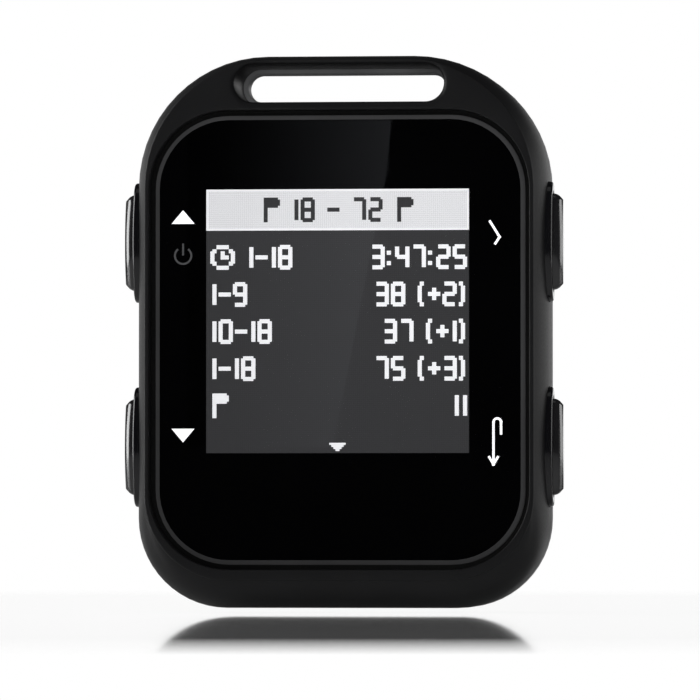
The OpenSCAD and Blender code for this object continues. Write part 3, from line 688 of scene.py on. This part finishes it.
# Seven strokes of a digit, as (x, z, width, height) in dots from its lower left
STROKES = {
    "a": (1, 10, 5, 2), "b": (5, 6, 2, 5), "c": (5, 1, 2, 5), "d": (1, 0, 5, 2),
    "e": (0, 1, 2, 5), "f": (0, 6, 2, 5), "g": (1, 5, 5, 2)}
DIGITS = {
    "0": "abcdef", "1": "bc", "2": "abged", "3": "abgcd", "4": "fgbc",
    "5": "afgcd", "6": "afgedc", "7": "abc", "8": "abcdefg", "9": "abcdfg"}
SIGNS = {
    "(": (4, [(1, 10, 2, 2), (0, 2, 2, 8), (1, 0, 2, 2)]),
    ")": (4, [(0, 10, 2, 2), (1, 2, 2, 8), (0, 0, 2, 2)]),
    "+": (6, [(0, 5, 6, 2), (2, 3, 2, 6)]),
    "-": (6, [(0, 5, 6, 2)]),
    ":": (3, [(0, 7, 2, 2), (0, 2, 2, 2)]),
    " ": (4, []),
    "flag": (9, [(1, 0, 2, 12), (3, 7, 5, 5), (8, 8, 1, 3)]),
    "clock": (12, [(3, 10, 6, 2), (3, 0, 6, 2), (0, 3, 2, 6), (10, 3, 2, 6), (1, 8, 2, 2),
                   (9, 8, 2, 2), (1, 2, 2, 2), (9, 2, 2, 2), (5, 5, 2, 4), (7, 5, 2, 2)])}


def glyph(sign):
    """A sign's width in dots and its blocks."""
    if sign in DIGITS:
        blocks = [STROKES[s] for s in DIGITS[sign]]
        shift = 4 if sign == "1" else 0
        return 7 - shift, [(x - shift, z, w, h) for x, z, w, h in blocks]
    return SIGNS[sign]


def dots_of(signs, x, z):
    """Lit dots of a row of signs whose lower left dot is (x, z), and where it ends."""
    lit = set()
    for sign in signs:
        width, blocks = glyph(sign)
        for bx, bz, w, h in blocks:
            lit |= {(x + bx + i, z + bz + k) for i in range(w) for k in range(h)}
        x += width + 1
    return lit, x - 1


def centred(signs, z):
    return dots_of(signs, (128 - dots_of(signs, 0, 0)[1]) // 2, z)[0]


def to_right(signs, z):
    return dots_of(signs, 127 - dots_of(signs, 0, 0)[1], z)[0]


def screen_dots():
    """The display's lit dots: a score summary in figures and generic signs only."""
    bar_low = 108
    heading = centred(["flag", " ", "1", "8", " ", "-", " ", "7", "2", " ", "flag"], bar_low + 4)
    border = {(i, k) for i in range(128) for k in (127, bar_low)}
    border |= {(i, k) for i in (0, 127) for k in range(bar_low, 128)}
    bar = {(i, k) for i in range(128) for k in range(bar_low, 128)} - heading - border
    rows = [
        (["clock", " ", *"1-18"], "3:47:25"), (list("1-9"), "38 (+2)"), (list("10-18"), "37 (+1)"),
        (list("1-18"), "75 (+3)"), (["flag"], "11")]
    light = set(border)
    for i, (label, value) in enumerate(rows):
        z = 89 - 18 * i
        light |= dots_of(label, 2, z)[0] | to_right(list(value), z)
    for k in range(4):
        light |= {(i, 4 - k) for i in range(60 + k, 68 - k)}
    return bar, light


def dot_sheet(name, dots, material, front):
    """A thin sheet in the shape of the lit dots, one face each, with its sides closed."""
    bm = bmesh.new()
    x0, z0 = DISPLAY_X - DISPLAY_S / 2, DISPLAY_Z - DISPLAY_S / 2
    verts = {}

    def vert(i, k):
        if (i, k) not in verts:
            verts[i, k] = bm.verts.new(at(x0 + i * PIXEL, z0 + k * PIXEL, front))
        return verts[i, k]

    for i, k in sorted(dots):
        bm.faces.new((vert(i, k), vert(i + 1, k), vert(i + 1, k + 1), vert(i, k + 1)))
    bmesh.ops.dissolve_limit(bm, angle_limit=0.01, verts=bm.verts, edges=bm.edges)
    made = bmesh.ops.extrude_face_region(bm, geom=list(bm.faces))
    moved = [g for g in made["geom"] if isinstance(g, bmesh.types.BMVert)]
    for v in moved:
        v.co.y = GLASS_LOW[1] * MM
    obj = finish_mesh(bm, name, material)
    return piece(obj, "case", "display")


def screen():
    bar, light = screen_dots()
    front = GLASS_LOW[1] - FRONT - 0.02
    dot_sheet("screen_bar", bar, M["lcd_bar"], front)
    dot_sheet("screen_figures", light, M["lcd_light"], front)


# ---------------------------------------------------------------- buttons
def bezel(name, side, z0):
    """The polished oval ring that frames a cap, rounded on both edges, with its sleeve."""
    out, soft, lead = HALF + BEZEL_OUT, 0.2, 0.18
    flat, window = (BEZEL_L, BEZEL_T), (WINDOW_L, WINDOW_T)
    sleeve = (SLEEVE_L, SLEEVE_T)
    bore = (SLEEVE_L - 2 * SLEEVE_WALL, SLEEVE_T - 2 * SLEEVE_WALL)
    seat, floor, end = RECESS_X + 0.02, RECESS_X - 0.05, POCKET_X + 0.02
    section = [(flat, 0, seat), (flat, 0, out - soft)]
    section += [(flat, -soft * (1 - math.cos(math.radians(a))),
                 out - soft * (1 - math.sin(math.radians(a)))) for a in (22.5, 45, 67.5, 90)]
    section += [(window, lead * (1 - math.sin(math.radians(a))),
                 out - lead * (1 - math.cos(math.radians(a)))) for a in (0, 30, 60, 90)]
    section += [(window, 0, floor), (bore, 0, floor), (bore, 0, end), (sleeve, 0, end),
                (sleeve, 0, seat)]
    rings = [(oval(*shape, g), w) for shape, g, w in section]
    obj = finish_mesh(loft(rings, at_button(side, z0), closed=True), f"{name}_ring", M["bezel"])
    return piece(obj, "case", "bezel", f"{name}_bezel")


def cap(name, side, z0):
    """A cap with a bulging wall, then a sloped edge round its flat face."""
    low, high = box_mm(f"{name}_cap")
    face = max(abs(low[0]), abs(high[0]))
    inner = min(abs(low[0]), abs(high[0]))
    start, bulge, turn, slope = HALF + BEZEL_OUT - 0.05, 0.9, 40, 0.55
    shape = (WINDOW_L - 2 * RUN, WINDOW_T - 2 * RUN)
    tight = 2 * (SLEEVE_WALL + RUN)
    flange = (SLEEVE_L - tight, SLEEVE_T - tight)
    section = [(flange, 0, inner), (flange, 0, inner + 0.4), (shape, 0, inner + 0.4)]
    section += [(shape, -bulge * (1 - math.cos(math.radians(a))),
                 start + bulge * math.sin(math.radians(a))) for a in range(0, turn + 1, 8)]
    section += [(shape, -slope + 0.04, face - 0.03), (shape, -slope, face - 0.008),
                (shape, -slope - 0.05, face)]
    rings = [(oval(*s, g), w) for s, g, w in section]
    obj = finish_mesh(loft(rings, at_button(side, z0)), f"{name}_key", M["cap"], 16)
    return piece(obj, f"{name}_button", "button", f"{name}_cap")


# ---------------------------------------------------------------- belt clip
def clip():
    """The sprung clip: a soft-edged plate with a spring window, knuckles, ribs and a foot."""
    low, high = CLIP_LOW[2], CLIP_HIGH[2]
    plate_d = CLIP_BACK - CLIP_T
    shape = (CLIP_HALF, low, high, 3.0, 3.0)
    soft = 0.4
    section = [(-0.2, plate_d), (-0.06, plate_d + 0.06), (0, plate_d + 0.2)]
    section += [(-soft * (1 - math.cos(math.radians(a))),
                 CLIP_BACK - soft * (1 - math.sin(math.radians(a)))) for a in range(0, 91, 15)]
    obj = finish_mesh(solid_outline(shape, section), "belt_clip_plate", M["clip"])
    parts = [tool(round_bar(s * KNUCKLE_IN, s * CLIP_HALF, PIN_Z, PIN_D, KNUCKLE_R)) for s in (-1, 1)]
    foot = (7.0, low + 0.6, low + 2.8, 0.5, 0.5)
    parts.append(tool(solid_outline(foot, [
        (-0.15, plate_d - 0.85), (0, plate_d - 0.7), (0, plate_d + 0.3)])))
    for k in range(4):
        z = high - 1.3 - 0.9 * k
        rib = (CLIP_HALF - 3.4, z - 0.22, z + 0.22, 0.2, 0.2)
        parts.append(tool(solid_outline(rib, [(0, CLIP_BACK - 0.4), (0, CLIP_BACK - 0.08),
                                             (-0.1, CLIP_BACK)])))
    hollow = (CLIP_HALF - 2.6, high - 4.7, high - 0.7, 0.8, 1.6)
    cut(obj, [tool(solid_outline(hollow, [(0, CLIP_BACK - 0.25), (0.12, CLIP_BACK + 0.01),
                                         (0.12, CLIP_BACK + 0.5)]))])
    cut(obj, parts, "UNION")
    window = (CLIP_WINDOW, PIN_Z - CLIP_REACH, PIN_Z + CLIP_REACH, 0.5, 0.5)
    cut(obj, [
        tool(round_bar(-CLIP_HALF - 1, CLIP_HALF + 1, PIN_Z, PIN_D, PIN_R + 0.05)),
        tool(solid_outline(window, [(0, plate_d - 2.5), (0, CLIP_BACK - 0.2), (0.2, CLIP_BACK),
                                    (0.2, CLIP_BACK + 1)]))])
    tidy_shading(obj, "belt_clip_plate")
    return piece(obj, "belt_clip", "clip", "clip")


def grip():
    """The ribbed rubber strip under the clip's free end."""
    low, high = box_mm("clip_grip")
    d0, d1 = low[1] - FRONT, high[1] - FRONT
    bm = bmesh.new()
    ribs = 4
    pitch = (high[2] - low[2]) / ribs
    profile = [(low[2], d1)]
    for k in range(ribs):
        z = low[2] + k * pitch
        profile += [(z + 0.02, d0 + 0.25), (z + 0.12, d0 + 0.05), (z + pitch / 2, d0),
                    (z + pitch - 0.12, d0 + 0.05), (z + pitch - 0.02, d0 + 0.25)]
    profile.append((high[2], d1))
    rows = [[bm.verts.new(at(x, z, d)) for z, d in profile] for x in (low[0], high[0])]
    n = len(profile)
    for i in range(n):
        j = (i + 1) % n
        bm.faces.new((rows[0][i], rows[0][j], rows[1][j], rows[1][i]))
    bm.faces.new(rows[0])
    bm.faces.new(list(reversed(rows[1])))
    obj = finish_mesh(bm, "grip_strip", M["rubber"])
    return piece(obj, "belt_clip", "seal", "clip_grip")


# ---------------------------------------------------------------- stage, lights and camera
def stage():
    """A pale floor that fades into the white surround."""
    bm = bmesh.new()
    rings, sides, reach = 24, 96, 0.6
    rows = []
    for k in range(1, rings + 1):
        r = reach * (k / rings) ** 2
        rows.append([bm.verts.new((r * math.cos(2 * math.pi * i / sides),
                                   r * math.sin(2 * math.pi * i / sides), FLOOR_Z))
                     for i in range(sides)])
    bm.faces.new(rows[0])
    for a, b in zip(rows, rows[1:]):
        for i in range(sides):
            j = (i + 1) % sides
            bm.faces.new((a[i], a[j], b[j], b[i]))
    mat, tree, bsdf = shader("floor_white", (0.92, 0.92, 0.92), 0.035)
    floor = finish_mesh(bm, "floor", mat)
    fade = tree.nodes.new("ShaderNodeTexGradient")
    fade.gradient_type = "SPHERICAL"
    coord = tree.nodes.new("ShaderNodeTexCoord")
    mapping = tree.nodes.new("ShaderNodeMapping")
    mapping.inputs["Scale"].default_value = (1 / 0.2,) * 3
    clear = tree.nodes.new("ShaderNodeBsdfTransparent")
    mix = tree.nodes.new("ShaderNodeMixShader")
    tree.links.new(coord.outputs["Object"], mapping.inputs["Vector"])
    tree.links.new(mapping.outputs["Vector"], fade.inputs["Vector"])
    tree.links.new(ranged(tree, fade.outputs["Fac"], 0, 1, 0.08, 0.36), mix.inputs["Fac"])
    tree.links.new(clear.outputs[0], mix.inputs[1])
    tree.links.new(bsdf.outputs[0], mix.inputs[2])
    tree.links.new(mix.outputs[0], tree.nodes["Material Output"].inputs["Surface"])


def surround():
    """White to the eye all round. In gloss, white low behind the unit and dark elsewhere."""
    world = bpy.data.worlds.new("studio")
    world.use_nodes = True
    bpy.context.scene.world = world
    tree = world.node_tree
    back = tree.nodes["Background"]
    coord = tree.nodes.new("ShaderNodeTexCoord")
    split = tree.nodes.new("ShaderNodeSeparateXYZ")
    tree.links.new(coord.outputs["Generated"], split.inputs["Vector"])
    depth = ranged(tree, split.outputs["Y"], 0.0, 1.0, 0.3, 0.9)
    above = ranged(tree, split.outputs["Z"], 0.0, 1.0, -0.01, 0.005)
    below = ranged(tree, split.outputs["Z"], 1.0, 0.03, 0.08, 0.3)
    glow = depth
    for part in (above, below):
        top = tree.nodes.new("ShaderNodeMath")
        top.operation = "MULTIPLY"
        tree.links.new(glow, top.inputs[0])
        tree.links.new(part, top.inputs[1])
        glow = top.outputs[0]
    ray = tree.nodes.new("ShaderNodeLightPath")
    seen = tree.nodes.new("ShaderNodeMath")
    seen.operation = "MAXIMUM"
    tree.links.new(ray.outputs["Is Camera Ray"], seen.inputs[0])
    tree.links.new(glow, seen.inputs[1])
    tree.links.new(mixed(tree, seen.outputs[0], (0.004, 0.004, 0.005), (1, 1, 1)), back.inputs["Color"])
    back.inputs["Strength"].default_value = 1.0


def lamp(name, place, aim, size, power, spread=180):
    """A soft box at `place` that looks at `aim`, hidden from the eye."""
    data = bpy.data.lights.new(name, "AREA")
    data.shape = "RECTANGLE"
    data.size, data.size_y = size
    data.energy = power
    data.spread = math.radians(spread)
    obj = bpy.data.objects.new(name, data)
    obj.location = place
    obj.rotation_euler = (Vector(aim) - Vector(place)).to_track_quat("-Z", "Y").to_euler()
    obj.visible_camera = False
    bpy.context.scene.collection.objects.link(obj)
    return obj


def lights():
    aim = (0, 0, 0.024)
    lamp("left_box", (-0.42, -0.02, 0.12), aim, (0.22, 0.34), 1.4)
    lamp("right_box", (0.45, 0.05, 0.1), aim, (0.12, 0.3), 0.35)
    lamp("top_box", (0.0, -0.12, 0.5), aim, (0.4, 0.25), 0.08)
    fill = lamp("front_fill", (0.1, -1.1, 0.14), aim, (0.9, 0.7), 9.0)
    fill.visible_glossy = False
    fill.visible_transmission = False


def camera():
    """The view from a little right of centre and a little low, with a long lens."""
    azimuth, elevation, distance = math.radians(5.5), math.radians(-1.35), 0.6
    aim = Vector((0.00048, -0.0013, 0.0219))
    back = Vector((math.sin(azimuth) * math.cos(elevation), -math.cos(azimuth) * math.cos(elevation),
                   math.sin(elevation)))
    data = bpy.data.cameras.new("camera")
    data.sensor_width = 36
    data.lens = data.sensor_width * distance / (VIEW_W * MM)
    data.clip_start, data.clip_end = 0.01, 10
    obj = bpy.data.objects.new("camera", data)
    obj.location = aim + back * distance
    obj.rotation_euler = (-back).to_track_quat("-Z", "Y").to_euler()
    bpy.context.scene.collection.objects.link(obj)
    bpy.context.scene.camera = obj
    return obj


def glare(eye):
    """A card behind the camera that the lens mirrors as a faint patch with one sharp edge."""
    plane = FRONT + LENS_D
    image = Vector((eye.x, 2 * plane * MM - eye.y, eye.z))
    bm = bmesh.new()
    corners = []
    for x, z in GLARE:
        spot = at(x, z, LENS_D)
        corners.append(bm.verts.new(image + (spot - image) * (GLARE_Y - image.y) / (spot.y - image.y)))
    bm.faces.new(corners)
    mat = bpy.data.materials.new("glare_card")
    mat.use_nodes = True
    tree = mat.node_tree
    tree.nodes.remove(tree.nodes["Principled BSDF"])
    coord = tree.nodes.new("ShaderNodeTexCoord")
    split = tree.nodes.new("ShaderNodeSeparateXYZ")
    power = tree.nodes.new("ShaderNodeMath")
    power.operation = "POWER"
    power.inputs[1].default_value = 2.0
    glow = tree.nodes.new("ShaderNodeEmission")
    glow.inputs["Color"].default_value = (0.9, 0.93, 1.0, 1)
    tree.links.new(coord.outputs["Generated"], split.inputs["Vector"])
    tree.links.new(split.outputs["X"], power.inputs[0])
    tree.links.new(ranged(tree, power.outputs[0], 0.0, 0.16, 0, 1), glow.inputs["Strength"])
    tree.links.new(glow.outputs[0], tree.nodes["Material Output"].inputs["Surface"])
    card = finish_mesh(bm, "glare_card", mat)
    card.visible_camera = False
    card.visible_diffuse = False


glare(camera().location)
surround()
lights()
stage()
front_case()
rear_case()
lens()
key_marks()
screen()
for name, (side, z0) in HEIGHTS.items():
    bezel(name, side, z0)
    cap(name, side, z0)
clip()
grip()
bpy.context.scene.view_settings.view_transform = "Standard"
